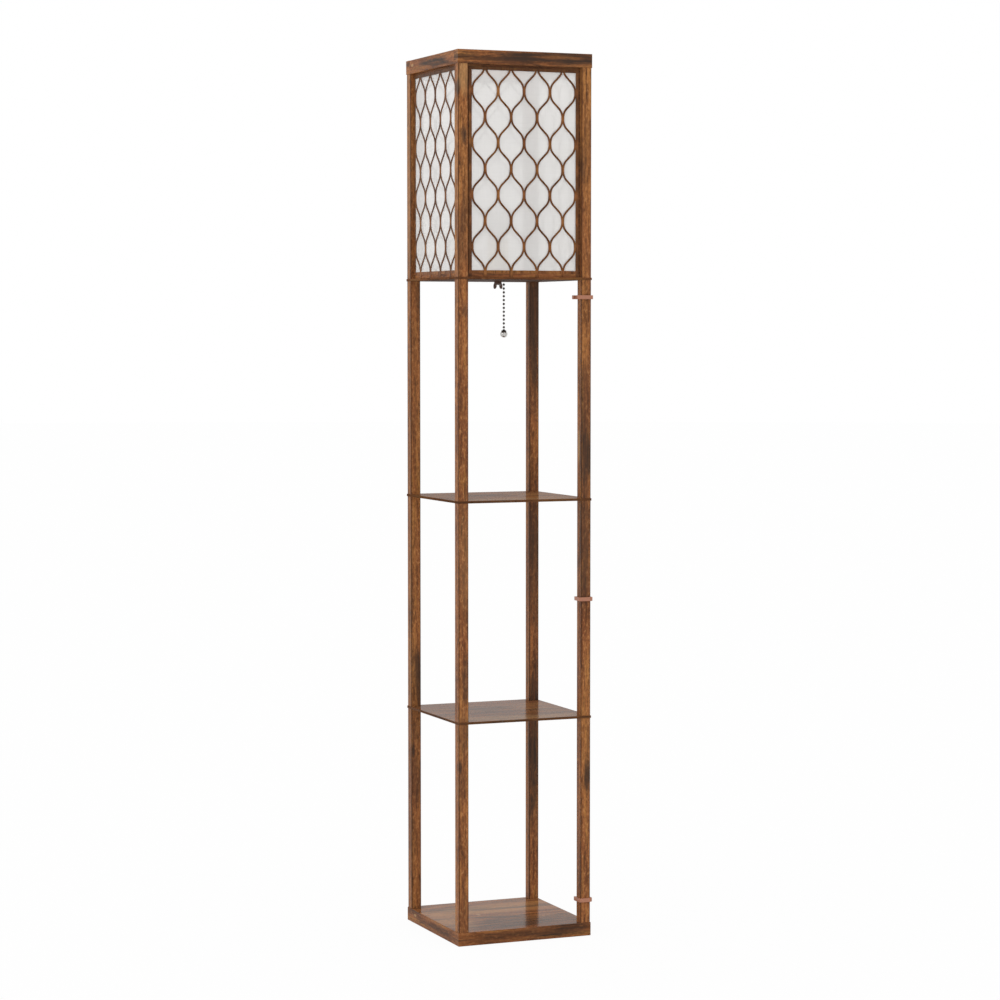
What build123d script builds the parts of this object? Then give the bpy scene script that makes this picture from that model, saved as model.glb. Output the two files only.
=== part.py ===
from build123d import *
import os
from math import radians, tan

# Shelf floor lamp, in millimetres, +Z up. The origin is the centre of the base board's underside.
# Front is -Y, left is -X. Four square posts stand at the corners; each is a stack of four segments
# that clamp the two shelves and the shade floor between them.

# ---------------------------------------------------------------- driving dimensions
# carcass
overall_width = 260.0  # base board, shelves and top frame are square in plan
base_height = 24.4
shelf_thickness = 4.4
lower_post_length = 376.0
middle_post_length = 392.2
upper_post_length = 394.5
shade_post_length = 376.0
top_frame_height = 24.7
post_width = 19.0
post_inset = 1.0  # the posts' outer faces stand in from the boards' edges
post_edge_radius = 1.3
board_edge_radius = 0.8
shelf_edge_radius = 0.6

# joining hardware
stud_radius = 3.0  # M6
stud_embed = 20.0  # screwed into the segment below
stud_reach = 11.0  # run into the insert of the segment above
insert_radius = 4.5
insert_length = 13.0
shelf_hole_radius = 3.4
bolt_head_radius = 5.0
bolt_head_height = 5.0
socket_key_flats = 4.0  # hexagon socket in each bolt head
socket_key_depth = 2.6
head_recess_depth = 7.0
head_recess_radius = 6.5
dowel_radius = 2.0
dowel_length = 18.0
dowel_spacing = 13.0  # one dowel on each side of the bolt
dowel_height = 8.0  # above the top frame's underside
hardware_fit = 0.05  # radial clearance round studs, inserts, dowels and tubes

# lattice panels and what stands behind them
panel_recess = 6.0  # from the posts' outer faces back to the panel frame
panel_thickness = 1.0
panel_side_gap = 3.7
panel_bottom_gap = 6.4
panel_top_gap = 4.3
panel_bar_width = 5.4
strand_proud = 0.3  # the lattice stands in front of its frame
strand_width = 3.2
lattice_joint_width = 5.2  # two strands side by side where they meet
lattice_joint_run = 4.0  # straight length of each joint
lattice_side_lap = 0.15  # of the outermost strands on the panel's side bars
lattice_first_joint = 8.1  # above the shade floor
lattice_columns = 8
lattice_rows = 8
diffuser_thickness = 0.5
diffuser_margin = 1.5  # inside the panel frame's outline
backing_depth = 6.0
backing_bar_width = 8.9
backing_top_height = 9.7
backing_step = 0.4  # the backing frame's bottom bar stops this far behind the panel's face

# lampholder, bulb and pull chain
nipple_radius = 5.0  # M10
nipple_bore_radius = 3.4  # the power cord passes through it
nipple_below_floor = 7.8
nipple_above_floor = 9.0
washer_radius = 9.2
washer_thickness = 1.2
wing_hub_radius = 6.8
wing_hub_height = 6.2
wing_bore_past_nipple = 0.3
wing_leaf_spread = 5.5  # from the axis to the middle of each leaf
wing_leaf_width = 5.6
wing_leaf_length = 12.6
wing_leaf_thickness = 3.0
wing_leaf_tilt = 10.0
holder_radius = 19.0
holder_cap_height = 30.0
holder_shell_height = 40.0
holder_wall = 1.6
liner_wall = 0.8
screw_shell_radius = 13.9
screw_shell_wall = 0.5
screw_shell_height = 27.0
contact_radius = 4.5
contact_thickness = 1.0
switch_gap = 3.0  # between the nipple's end and the switch block
bulb_cap_radius = 13.1
bulb_cap_length = 26.0
bulb_radius = 30.0
bulb_neck_radius = 12.0
bulb_height = 84.0
bulb_glass_wall = 1.2
chain_offset = 28.0  # in front of the lampholder's axis
chain_hole_radius = 4.0
bell_radius = 5.5
bell_bore_radius = 3.2
bell_height = 16.0
bell_above_floor = 5.0
bell_arm_width = 7.0
bead_radius = 2.2
bead_pitch = 7.05
link_radius = 0.5
swivel_gap = 0.35  # each wire ends this far from the point it swivels about
first_bead_drop = 7.5  # centre of the first bead, below the shade floor
bead_count_above = 4
bead_count_below = 12
ball_radius = 6.6
ball_drop = 12.2  # from the last bead's centre to the ball's centre
ball_cap_radius = 4.6
ball_cap_height = 1.4
ball_neck_radius = 1.8

# cord clips on the front right post
clip_height = 7.0
clip_wall = 3.8
clip_post_clearance = 0.1
clip_corner_radius = 5.5
clip_lip_radius = 2.6  # rounded lips that hold the clip on the post
clip_arm_reaches = {"lower": 14.0, "middle": 14.0, "upper": 19.0}  # from the post's axis
lower_clip_rise = 41.6  # above the base board
middle_clip_rise = 213.2  # above the lower shelf
upper_clip_drop = 30.9  # below the shade floor
clip_mouth_angles = {"lower": 0.0, "middle": 0.0, "upper": 90.0}  # 0 opens to the back, 90 to the left

# ---------------------------------------------------------------- levels and places
lower_shelf_bottom = base_height + lower_post_length
lower_shelf_top = lower_shelf_bottom + shelf_thickness
middle_shelf_bottom = lower_shelf_top + middle_post_length
middle_shelf_top = middle_shelf_bottom + shelf_thickness
shade_floor_bottom = middle_shelf_top + upper_post_length
shade_floor_top = shade_floor_bottom + shelf_thickness
top_frame_bottom = shade_floor_top + shade_post_length
total_height = top_frame_bottom + top_frame_height

half_width = overall_width / 2
post_outer = half_width - post_inset
post_inner = post_outer - post_width
post_axis = post_outer - post_width / 2
post_spacing = 2 * post_axis
clear_width = 2 * post_inner

corners = {
    "front_left": (-post_axis, -post_axis),
    "front_right": (post_axis, -post_axis),
    "back_left": (-post_axis, post_axis),
    "back_right": (post_axis, post_axis),
}

# one plane on each side of the shade: local x along the side, local y up, z outwards,
# with its origin on the posts' outer faces at the shade floor's top
side_planes = {
    "front": Plane((0, -post_outer, shade_floor_top), x_dir=(1, 0, 0), z_dir=(0, -1, 0)),
    "right": Plane((post_outer, 0, shade_floor_top), x_dir=(0, 1, 0), z_dir=(1, 0, 0)),
    "back": Plane((0, post_outer, shade_floor_top), x_dir=(-1, 0, 0), z_dir=(0, 1, 0)),
    "left": Plane((-post_outer, 0, shade_floor_top), x_dir=(0, -1, 0), z_dir=(-1, 0, 0)),
}

os.makedirs("parts", exist_ok=True)


def keep(piece, node):
    """Labels a finished piece and writes its STEP file."""
    piece.part.label = node
    export_step(piece.part, f"parts/{node}.step")


# ---------------------------------------------------------------- base board
with BuildPart() as base_board:
    with BuildSketch():
        Rectangle(overall_width, overall_width)
    extrude(amount=base_height)
    fillet(base_board.edges(), radius=board_edge_radius)
    with Locations(Plane(origin=(0, 0, 0), z_dir=(0, 0, -1))):
        with GridLocations(post_spacing, post_spacing, 2, 2):
            CounterBoreHole(shelf_hole_radius, head_recess_radius, head_recess_depth)
keep(base_board, "base_board")


# ---------------------------------------------------------------- post segments
def insert_depth():
    return insert_length + hardware_fit


segments = {
    "lower_post": (base_height, lower_post_length),
    "middle_post": (lower_shelf_top, middle_post_length),
    "upper_post": (middle_shelf_top, upper_post_length),
    "shade_post": (shade_floor_top, shade_post_length),
}
for segment, (start, length) in segments.items():
    for corner, (x, y) in corners.items():
        with BuildPart() as post:
            with BuildSketch(Plane.XY.offset(start)):
                with Locations((x, y)):
                    RectangleRounded(post_width, post_width, post_edge_radius)
            extrude(amount=length)
            # pocket for the insert in the lower end
            with BuildSketch(Plane.XY.offset(start)):
                with Locations((x, y)):
                    Circle(insert_radius + hardware_fit)
            extrude(amount=insert_depth(), mode=Mode.SUBTRACT)
            # the upper end takes the next stud, or an insert under the top frame
            with BuildSketch(Plane.XY.offset(start + length)):
                with Locations((x, y)):
                    Circle((insert_radius if segment == "shade_post" else stud_radius) + hardware_fit)
            end_depth = insert_depth() if segment == "shade_post" else stud_embed + hardware_fit
            extrude(amount=-end_depth, mode=Mode.SUBTRACT)
        keep(post, f"{segment}_{corner}")


# ---------------------------------------------------------------- shelves and shade floor
shelf_levels = {"lower_shelf": lower_shelf_bottom, "middle_shelf": middle_shelf_bottom}
for shelf_name, level in shelf_levels.items():
    with BuildPart() as shelf:
        with BuildSketch(Plane.XY.offset(level)):
            Rectangle(overall_width, overall_width)
        extrude(amount=shelf_thickness)
        fillet(shelf.edges(), radius=shelf_edge_radius)
        with BuildSketch(Plane.XY.offset(level)):
            with GridLocations(post_spacing, post_spacing, 2, 2):
                Circle(shelf_hole_radius)
        extrude(amount=shelf_thickness, mode=Mode.SUBTRACT)
    keep(shelf, shelf_name)

with BuildPart() as shade_floor:
    with BuildSketch(Plane.XY.offset(shade_floor_bottom)):
        Rectangle(overall_width, overall_width)
    extrude(amount=shelf_thickness)
    fillet(shade_floor.edges(), radius=shelf_edge_radius)
    with BuildSketch(Plane.XY.offset(shade_floor_bottom)):
        with GridLocations(post_spacing, post_spacing, 2, 2):
            Circle(shelf_hole_radius)
        Circle(nipple_radius + hardware_fit)
        with Locations((0, -chain_offset)):
            Circle(chain_hole_radius)
    extrude(amount=shelf_thickness, mode=Mode.SUBTRACT)
keep(shade_floor, "shade_floor")


# ---------------------------------------------------------------- studs, inserts and bolts
# Every shelf is clamped by four studs, and every segment's lower end holds an insert.
with BuildPart() as shelf_studs:
    for level in (lower_shelf_top, middle_shelf_top, shade_floor_top):
        with BuildSketch(Plane.XY.offset(level + stud_reach)):
            with GridLocations(post_spacing, post_spacing, 2, 2):
                Circle(stud_radius)
        extrude(amount=-(stud_embed + shelf_thickness + stud_reach))
    chamfer(shelf_studs.edges().filter_by(GeomType.CIRCLE), length=stud_radius / 5)
keep(shelf_studs, "shelf_studs")

insert_levels = [start for start, _ in segments.values()] + [top_frame_bottom - insert_length]
with BuildPart() as post_inserts:
    for level in insert_levels:
        with BuildSketch(Plane.XY.offset(level)):
            with GridLocations(post_spacing, post_spacing, 2, 2):
                Circle(insert_radius)
                Circle(stud_radius + hardware_fit, mode=Mode.SUBTRACT)
        extrude(amount=insert_length)
keep(post_inserts, "post_inserts")

# each plane sits on the seat of the bolts' heads and looks the way the heads face
bolt_seats = [
    (Plane(origin=(0, 0, head_recess_depth), z_dir=(0, 0, -1)), base_height - head_recess_depth),
    (Plane.XY.offset(total_height - head_recess_depth), top_frame_height - head_recess_depth),
]
with BuildPart() as frame_bolts:
    for seat, board_left in bolt_seats:
        with BuildSketch(seat):
            with GridLocations(post_spacing, post_spacing, 2, 2):
                Circle(bolt_head_radius)
        extrude(amount=bolt_head_height)
        with BuildSketch(seat):
            with GridLocations(post_spacing, post_spacing, 2, 2):
                Circle(stud_radius)
        extrude(amount=-(board_left + stud_reach))
        with BuildSketch(seat.offset(bolt_head_height)):
            with GridLocations(post_spacing, post_spacing, 2, 2):
                RegularPolygon(socket_key_flats / 2, 6, major_radius=False)
        extrude(amount=-socket_key_depth, mode=Mode.SUBTRACT)
keep(frame_bolts, "frame_bolts")


# ---------------------------------------------------------------- top frame
# The front and back rails run the full width and are bolted to the posts;
# the side rails stand between them on dowels.
top_rail_width = half_width - post_inner
rail_axis = half_width - top_rail_width / 2
dowel_level = top_frame_bottom + dowel_height

for rail_name, side in {"top_front_rail": -1, "top_back_rail": 1}.items():
    with BuildPart() as long_rail:
        with BuildSketch(Plane.XY.offset(top_frame_bottom)):
            with Locations((0, side * rail_axis)):
                Rectangle(overall_width, top_rail_width)
        extrude(amount=top_frame_height)
        outer_edges = long_rail.edges().filter_by(Axis.X)
        end_edges = long_rail.edges().filter_by(Axis.Z).sort_by(Axis.Y)
        corner_edges = end_edges[:2] if side < 0 else end_edges[-2:]
        fillet(outer_edges + corner_edges, radius=board_edge_radius)
        with Locations(Plane.XY.offset(total_height)):
            with Locations((-post_axis, side * post_axis), (post_axis, side * post_axis)):
                CounterBoreHole(shelf_hole_radius, head_recess_radius, head_recess_depth)
        for x in (-rail_axis, rail_axis):
            dowel_face = Plane((x, side * post_inner, dowel_level), x_dir=(1, 0, 0), z_dir=(0, side, 0))
            with BuildSketch(dowel_face):
                with GridLocations(dowel_spacing, 0, 2, 1):
                    Circle(dowel_radius + hardware_fit)
            extrude(amount=dowel_length / 2 + hardware_fit, mode=Mode.SUBTRACT)
    keep(long_rail, rail_name)

for rail_name, side in {"top_left_rail": -1, "top_right_rail": 1}.items():
    with BuildPart() as side_rail:
        with BuildSketch(Plane.XY.offset(top_frame_bottom)):
            with Locations((side * rail_axis, 0)):
                Rectangle(top_rail_width, clear_width)
        extrude(amount=top_frame_height)
        fillet(side_rail.edges().filter_by(Axis.Y), radius=board_edge_radius)
        for end in (-1, 1):
            end_middle = (side * rail_axis, end * post_inner, dowel_level)
            with BuildSketch(Plane(end_middle, x_dir=(1, 0, 0), z_dir=(0, end, 0))):
                with GridLocations(dowel_spacing, 0, 2, 1):
                    Circle(dowel_radius + hardware_fit)
            extrude(amount=-(dowel_length / 2 + hardware_fit), mode=Mode.SUBTRACT)
    keep(side_rail, rail_name)

with BuildPart() as top_dowels:
    for end in (-1, 1):
        joint_face = Plane((0, end * post_inner, dowel_level), x_dir=(1, 0, 0), z_dir=(0, end, 0))
        with BuildSketch(joint_face.offset(-dowel_length / 2)):
            with GridLocations(2 * rail_axis, 0, 2, 1):
                with GridLocations(dowel_spacing, 0, 2, 1):
                    Circle(dowel_radius)
        extrude(amount=dowel_length)
keep(top_dowels, "top_dowels")


# ---------------------------------------------------------------- lattice panels
# Each strand runs straight through a joint, bends to a diagonal and bends back into the next joint,
# one row up and half a pitch over.
joint_offset = (lattice_joint_width - strand_width) / 2
panel_half_width = post_inner - panel_side_gap
panel_height = shade_post_length - panel_bottom_gap - panel_top_gap
panel_centre = panel_bottom_gap + panel_height / 2
lattice_half_width = panel_half_width - panel_bar_width + lattice_side_lap - strand_width / 2 + joint_offset
lattice_pitch = 4 * lattice_half_width / lattice_columns
lattice_row_height = (shade_post_length - lattice_first_joint) / lattice_rows
strand_swing = lattice_pitch / 2 - 2 * joint_offset
bend_height = (lattice_row_height - strand_swing) / 2  # from a joint row to the corner of the bend
bend_radius = (bend_height - lattice_joint_run / 2) / tan(radians(45 / 2))


def strand_corners(column):
    """The corners of a strand's middle line, from below the shade floor to above the top frame."""
    left_x = (column - lattice_columns / 2) * lattice_pitch / 2 + joint_offset
    found = []
    for row in range(-1, lattice_rows + 2):
        x = left_x + (0 if (column + row) % 2 else strand_swing)
        y = lattice_first_joint + row * lattice_row_height
        found += [(x, y - bend_height), (x, y + bend_height)]
    return found


with BuildSketch() as lattice_outline:
    for column in range(lattice_columns):
        with BuildLine() as strand:
            FilletPolyline(*strand_corners(column), radius=bend_radius)
        trace(strand.line, line_width=strand_width)
    Rectangle(
        2 * panel_half_width,
        panel_bottom_gap + panel_height,
        align=(Align.CENTER, Align.MIN),
        mode=Mode.INTERSECT,
    )

for side, plane in side_planes.items():
    panel_back = plane.offset(-(panel_recess + panel_thickness))
    with BuildPart() as lattice_panel:
        with BuildSketch(panel_back):
            with Locations((0, panel_centre)):
                Rectangle(2 * panel_half_width, panel_height)
                Rectangle(
                    2 * (panel_half_width - panel_bar_width),
                    panel_height - 2 * panel_bar_width,
                    mode=Mode.SUBTRACT,
                )
        extrude(amount=panel_thickness)
        with BuildSketch(panel_back):
            add(lattice_outline.sketch)
        extrude(amount=panel_thickness + strand_proud)
        # the strands' lower ends lap over the backing frame's bottom bar
        with BuildSketch(panel_back):
            Rectangle(clear_width, panel_bottom_gap, align=(Align.CENTER, Align.MIN))
        extrude(amount=panel_thickness - backing_step, mode=Mode.SUBTRACT)
    keep(lattice_panel, f"{side}_lattice_panel")


# ---------------------------------------------------------------- diffusers and backing frames
# The film is held between the panel and a frame whose bottom bar also carries the panel.
for side, plane in side_planes.items():
    panel_back = plane.offset(-(panel_recess + panel_thickness))
    film_back = panel_back.offset(-diffuser_thickness)
    with BuildPart() as diffuser:
        with BuildSketch(panel_back):
            with Locations((0, panel_centre)):
                Rectangle(2 * (panel_half_width - diffuser_margin), panel_height - 2 * diffuser_margin)
        extrude(amount=-diffuser_thickness)
    keep(diffuser, f"{side}_diffuser")

    with BuildPart() as backing_frame:
        with BuildSketch(film_back):
            with Locations((0, shade_post_length / 2)):
                Rectangle(clear_width, shade_post_length)
            with Locations((0, panel_bottom_gap + panel_bar_width)):
                Rectangle(
                    clear_width - 2 * backing_bar_width,
                    shade_post_length - backing_top_height - panel_bottom_gap - panel_bar_width,
                    align=(Align.CENTER, Align.MIN),
                    mode=Mode.SUBTRACT,
                )
        extrude(amount=-backing_depth)
        with BuildSketch(film_back):
            Rectangle(clear_width, panel_bottom_gap, align=(Align.CENTER, Align.MIN))
        extrude(amount=diffuser_thickness + panel_thickness - backing_step)
    keep(backing_frame, f"{side}_backing_frame")


# ---------------------------------------------------------------- lampholder
with BuildPart() as socket_nipple:
    with BuildSketch(Plane.XY.offset(shade_floor_bottom - nipple_below_floor)):
        Circle(nipple_radius)
        Circle(nipple_bore_radius, mode=Mode.SUBTRACT)
    extrude(amount=nipple_below_floor + shelf_thickness + nipple_above_floor)
keep(socket_nipple, "socket_nipple")

with BuildPart() as nipple_washer:
    with BuildSketch(Plane.XY.offset(shade_floor_bottom)):
        Circle(washer_radius)
        Circle(nipple_radius + hardware_fit, mode=Mode.SUBTRACT)
    extrude(amount=-washer_thickness)
keep(nipple_washer, "nipple_washer")

wing_top = shade_floor_bottom - washer_thickness
with BuildPart() as wing_nut:
    with BuildSketch(Plane.XY.offset(wing_top)):
        Circle(wing_hub_radius)
    extrude(amount=-wing_hub_height)
    with BuildSketch(Plane.XZ):
        for hand in (-1, 1):
            with Locations((hand * wing_leaf_spread, wing_top - wing_leaf_length / 2 - washer_thickness)):
                Ellipse(wing_leaf_width / 2, wing_leaf_length / 2, rotation=hand * wing_leaf_tilt)
    extrude(amount=wing_leaf_thickness / 2, both=True)
    with BuildSketch(Plane.XY.offset(wing_top)):
        Circle(nipple_radius + hardware_fit)
    extrude(amount=-(nipple_below_floor - washer_thickness + wing_bore_past_nipple), mode=Mode.SUBTRACT)
keep(wing_nut, "wing_nut")

cap_top = shade_floor_top + holder_cap_height
bell_middle = shade_floor_top + bell_above_floor + bell_height / 2
with BuildPart() as socket_cap:
    with BuildSketch(Plane.XY.offset(shade_floor_top)):
        Circle(holder_radius)
    extrude(amount=holder_cap_height)
    fillet(socket_cap.edges().sort_by(Axis.Z)[0], radius=holder_wall)
    with BuildSketch(Plane.XY.offset(shade_floor_top + holder_wall)):
        Circle(holder_radius - holder_wall)
    extrude(amount=holder_cap_height, mode=Mode.SUBTRACT)
    with BuildSketch(Plane.XY.offset(shade_floor_top)):
        Circle(nipple_radius + hardware_fit)
    extrude(amount=holder_wall, mode=Mode.SUBTRACT)
    # the horn that leads the chain out and turns it down
    with BuildSketch(Plane.XY.offset(bell_middle - bell_height / 2)):
        with Locations((0, -chain_offset)):
            Circle(bell_radius)
        with Locations((0, -(holder_radius + chain_offset - holder_wall) / 2)):
            Rectangle(bell_arm_width, chain_offset - holder_radius + holder_wall)
        with Locations((0, -chain_offset)):
            Circle(bell_bore_radius, mode=Mode.SUBTRACT)
    extrude(amount=bell_height)
keep(socket_cap, "socket_cap")

switch_block_bottom = shade_floor_top + nipple_above_floor + switch_gap
holder_bore_radius = holder_radius - holder_wall - hardware_fit
with BuildPart() as switch_block:
    with BuildSketch(Plane.XY.offset(switch_block_bottom)):
        Circle(holder_bore_radius)
    extrude(amount=cap_top - switch_block_bottom)
keep(switch_block, "switch_block")

with BuildPart() as socket_shell:
    with BuildSketch(Plane.XY.offset(cap_top)):
        Circle(holder_radius)
        Circle(holder_radius - holder_wall, mode=Mode.SUBTRACT)
    extrude(amount=holder_shell_height)
    fillet(socket_shell.edges().filter_by(GeomType.CIRCLE).group_by(Axis.Z)[-1], radius=holder_wall / 3)
keep(socket_shell, "socket_shell")

with BuildPart() as socket_liner:
    with BuildSketch(Plane.XY.offset(cap_top)):
        Circle(holder_bore_radius)
        Circle(holder_bore_radius - liner_wall, mode=Mode.SUBTRACT)
    extrude(amount=holder_shell_height - holder_wall)
keep(socket_liner, "socket_liner")

with BuildPart() as screw_shell:
    with BuildSketch(Plane.XY.offset(cap_top)):
        Circle(screw_shell_radius)
        Circle(screw_shell_radius - screw_shell_wall, mode=Mode.SUBTRACT)
    extrude(amount=screw_shell_height)
keep(screw_shell, "screw_shell")

with BuildPart() as centre_contact:
    with BuildSketch(Plane.XY.offset(cap_top)):
        Circle(contact_radius)
    extrude(amount=contact_thickness)
keep(centre_contact, "centre_contact")

# ---------------------------------------------------------------- bulb
bulb_cap_bottom = cap_top + contact_thickness
bulb_cap_top = bulb_cap_bottom + bulb_cap_length
with BuildPart() as bulb_cap:
    with BuildSketch(Plane.XZ):
        with BuildLine():
            Polyline(
                (0, bulb_cap_bottom),
                (contact_radius, bulb_cap_bottom),
                (bulb_cap_radius - 2 * bulb_glass_wall, bulb_cap_bottom + 3 * bulb_glass_wall),
                (bulb_cap_radius, bulb_cap_bottom + 4 * bulb_glass_wall),
                (bulb_cap_radius, bulb_cap_top),
                (0, bulb_cap_top),
                close=True,
            )
        make_face()
    revolve(axis=Axis.Z)
keep(bulb_cap, "bulb_cap")

bulb_top = bulb_cap_top + bulb_height
bulb_ball_centre = bulb_top - bulb_radius
with BuildPart() as bulb_glass:
    with BuildSketch(Plane.XZ):
        with BuildLine():
            Line((0, bulb_cap_top), (bulb_neck_radius, bulb_cap_top))
            Spline(
                (bulb_neck_radius, bulb_cap_top),
                (bulb_radius, bulb_ball_centre),
                tangents=[(0, 1), (0, 1)],
            )
            CenterArc((0, bulb_ball_centre), bulb_radius, 0, 90)
            Line((0, bulb_top), (0, bulb_cap_top))
        make_face()
    revolve(axis=Axis.Z)
    offset(amount=-bulb_glass_wall, openings=bulb_glass.faces().sort_by(Axis.Z)[0])
keep(bulb_glass, "bulb_glass")


# ---------------------------------------------------------------- pull chain
first_bead_level = shade_floor_bottom - first_bead_drop


def bead_profile(top_level, count, link_above, link_below):
    """Half section of a run of beads on one wire, on the plane through the chain's axis."""
    with BuildLine(mode=Mode.PRIVATE) as profile:
        half_pass = (bead_radius**2 - link_radius**2) ** 0.5
        last_bottom = top_level - (count - 1) * bead_pitch - half_pass
        Line((0, top_level + half_pass + link_above), (link_radius, top_level + half_pass + link_above))
        Line((link_radius, top_level + half_pass + link_above), (link_radius, top_level + half_pass))
        for bead in range(count):
            level = top_level - bead * bead_pitch
            ThreePointArc((link_radius, level + half_pass), (bead_radius, level), (link_radius, level - half_pass))
            if bead < count - 1:
                Line((link_radius, level - half_pass), (link_radius, level - bead_pitch + half_pass))
        Line((link_radius, last_bottom), (link_radius, last_bottom - link_below))
        Line((link_radius, last_bottom - link_below), (0, last_bottom - link_below))
        Line((0, last_bottom - link_below), (0, top_level + half_pass + link_above))
    return profile.edges()


chain_plane = Plane((0, -chain_offset, 0), x_dir=(1, 0, 0), z_dir=(0, -1, 0))
chain_axis = Axis((0, -chain_offset, 0), (0, 0, 1))
link_share = (bead_pitch - 2 * (bead_radius**2 - link_radius**2) ** 0.5) / 2  # half a link's length
swivel_reach = link_share - swivel_gap

with BuildPart() as chain_top:
    with BuildSketch(chain_plane):
        top_bead_level = first_bead_level + bead_count_above * bead_pitch
        make_face(bead_profile(top_bead_level, bead_count_above, link_share, swivel_reach))
    revolve(axis=chain_axis)
keep(chain_top, "chain_top")

with BuildPart() as chain_swivel_bead:
    with BuildSketch(chain_plane):
        make_face(bead_profile(first_bead_level, 1, swivel_reach, swivel_reach))
    revolve(axis=chain_axis)
keep(chain_swivel_bead, "chain_swivel_bead")

last_bead_level = first_bead_level - (bead_count_below - 1) * bead_pitch
ball_centre = last_bead_level - ball_drop
ball_neck_bottom = ball_centre + (ball_radius**2 - ball_cap_radius**2) ** 0.5
with BuildPart() as hanging_chain:
    with BuildSketch(chain_plane):
        make_face(bead_profile(first_bead_level - bead_pitch, bead_count_below - 1, swivel_reach, link_share))
    revolve(axis=chain_axis)
keep(hanging_chain, "hanging_chain")

with BuildPart() as pull_ball:
    with BuildSketch(chain_plane):
        with Locations((0, ball_centre)):
            Circle(ball_radius)
            Rectangle(2 * ball_radius, 2 * ball_radius, align=(Align.MAX, Align.CENTER), mode=Mode.SUBTRACT)
    revolve(axis=chain_axis)
    split(bisect_by=Plane.XY.offset(ball_neck_bottom), keep=Keep.BOTTOM)
keep(pull_ball, "pull_ball")

ball_link_bottom = last_bead_level - (bead_radius**2 - link_radius**2) ** 0.5 - link_share
with BuildPart() as ball_cap:
    with BuildSketch(chain_plane):
        with BuildLine():
            Polyline(
                (0, ball_neck_bottom),
                (ball_cap_radius, ball_neck_bottom),
                (ball_cap_radius, ball_neck_bottom + ball_cap_height),
                (ball_neck_radius, ball_neck_bottom + 2 * ball_cap_height),
                (ball_neck_radius, ball_link_bottom),
                (0, ball_link_bottom),
                close=True,
            )
        make_face()
    revolve(axis=chain_axis)
keep(ball_cap, "ball_cap")


# ---------------------------------------------------------------- cord clips
# A C round the post, its mouth turned to the back or the left. Rounded lips behind the post hold it on,
# and the upper clip's longer arms end in a second pair.
clip_inner = post_width / 2 + clip_post_clearance
clip_outer = clip_inner + clip_wall
lip_x = clip_outer - clip_lip_radius
clip_levels = {
    "lower": base_height + lower_clip_rise,
    "middle": lower_shelf_top + middle_clip_rise,
    "upper": shade_floor_bottom - upper_clip_drop,
}
for clip_name, level in clip_levels.items():
    arm_reach = clip_arm_reaches[clip_name]
    clip_plane = Plane((post_axis, -post_axis, level)).rotated((0, 0, clip_mouth_angles[clip_name]))
    with BuildPart() as clip:
        with BuildSketch(clip_plane) as clip_outline:
            with Locations((0, -clip_outer)):
                Rectangle(
                    2 * clip_outer,
                    arm_reach - clip_lip_radius + clip_outer,
                    align=(Align.CENTER, Align.MIN),
                )
            closed_corners = clip_outline.vertices().group_by(Axis.Y)[0]
            fillet(closed_corners, radius=clip_corner_radius)
            with Locations((0, -clip_inner)):
                Rectangle(
                    2 * clip_inner,
                    2 * arm_reach,
                    align=(Align.CENTER, Align.MIN),
                    mode=Mode.SUBTRACT,
                )
            for y in (clip_inner + clip_lip_radius / 2, arm_reach - clip_lip_radius):
                with Locations((-lip_x, y), (lip_x, y)):
                    Circle(clip_lip_radius)
            Rectangle(2 * clip_inner, 2 * clip_inner, mode=Mode.SUBTRACT)
        extrude(amount=clip_height / 2, both=True)
    keep(clip, f"{clip_name}_cord_clip")
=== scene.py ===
from math import pi

import bpy
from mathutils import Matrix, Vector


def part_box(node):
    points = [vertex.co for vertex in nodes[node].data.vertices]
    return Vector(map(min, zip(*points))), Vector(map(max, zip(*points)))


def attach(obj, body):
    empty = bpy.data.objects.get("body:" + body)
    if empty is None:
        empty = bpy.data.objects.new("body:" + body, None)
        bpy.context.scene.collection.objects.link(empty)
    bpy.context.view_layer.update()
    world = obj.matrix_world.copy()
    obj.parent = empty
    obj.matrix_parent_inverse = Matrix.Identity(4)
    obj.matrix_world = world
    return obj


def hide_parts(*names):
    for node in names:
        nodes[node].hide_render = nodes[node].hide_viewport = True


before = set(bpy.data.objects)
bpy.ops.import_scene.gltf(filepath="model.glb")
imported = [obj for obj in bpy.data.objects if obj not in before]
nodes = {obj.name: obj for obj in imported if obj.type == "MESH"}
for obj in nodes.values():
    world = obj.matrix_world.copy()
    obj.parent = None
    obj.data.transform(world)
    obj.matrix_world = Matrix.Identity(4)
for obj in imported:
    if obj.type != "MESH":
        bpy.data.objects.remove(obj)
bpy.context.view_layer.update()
bpy.ops.object.select_all(action="DESELECT")


# The studio: a pale floor that runs out to a white surround, a broad soft lamp high on the left,
# and a camera at chest height that looks slightly down, from the left of the front.
floor_paint = bpy.data.materials.new("studio_floor_paint")
floor_paint.use_nodes = True
floor_tree = floor_paint.node_tree
matt_white = floor_tree.nodes["Principled BSDF"]
matt_white.inputs["Base Color"].default_value = (0.90, 0.90, 0.90, 1)
matt_white.inputs["Roughness"].default_value = 0.9
matt_white.inputs["Specular IOR Level"].default_value = 0.0
bright_white = floor_tree.nodes.new("ShaderNodeEmission")
bright_white.inputs["Strength"].default_value = 1.0
floor_ray = floor_tree.nodes.new("ShaderNodeLightPath")
looked_at = floor_tree.nodes.new("ShaderNodeMath")
looked_at.operation = "MAXIMUM"
floor_tree.links.new(floor_ray.outputs["Is Camera Ray"], looked_at.inputs[0])
floor_tree.links.new(floor_ray.outputs["Is Glossy Ray"], looked_at.inputs[1])
share_white = floor_tree.nodes.new("ShaderNodeMath")
share_white.operation = "MULTIPLY"
share_white.inputs[1].default_value = 0.95
floor_tree.links.new(looked_at.outputs[0], share_white.inputs[0])
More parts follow.
